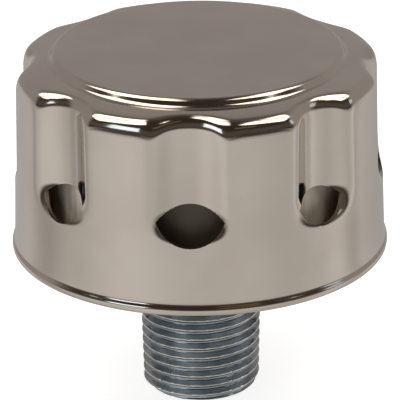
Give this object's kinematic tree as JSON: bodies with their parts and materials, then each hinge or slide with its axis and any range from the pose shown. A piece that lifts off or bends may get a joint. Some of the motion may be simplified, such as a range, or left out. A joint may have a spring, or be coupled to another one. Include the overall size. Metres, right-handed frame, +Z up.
{
  "type": "filler breather",
  "caption": "Screw-in filler breather with a fluted, plated steel cap, side vents, a filter element and a half-inch taper pipe thread.",
  "frame": {"origin": "centre of the nipple's lower end, which is the lowest point of the part", "axes": "+Z up along the nipple's axis towards the crown of the cap; +X through the middle of one flute, with a flute also at -Y"},
  "size_m": [0.0666, 0.0666, 0.0634],
  "materials": {
    "plated_cap": "nickel-plated sheet steel, polished",
    "zinc_steel": "zinc plated, turned",
    "tin_steel": "pressed sheet",
    "spring_steel": "drawn wire",
    "seal_rubber": "moulded nitrile",
    "felt": "pressed felt",
    "filter_paper": "pleated",
    "resin": "cast"
  },
  "bodies": {
    "root": {"cap_shell": "plated_cap", "base_pan": "zinc_steel", "rim_seal": "seal_rubber", "threaded_nipple": "zinc_steel", "nipple_gasket": "seal_rubber", "lock_washer": "zinc_steel", "nipple_locknut": "zinc_steel", "splash_baffle": "tin_steel", "labyrinth_ring": "tin_steel", "lower_seal": "felt", "lower_endcap": "tin_steel", "lower_potting": "resin", "pleated_media": "filter_paper", "core_tube": "tin_steel", "upper_potting": "resin", "upper_endcap": "tin_steel", "spring_plate": "tin_steel", "coil_spring": "spring_steel"}
  },
  "joints": []
}
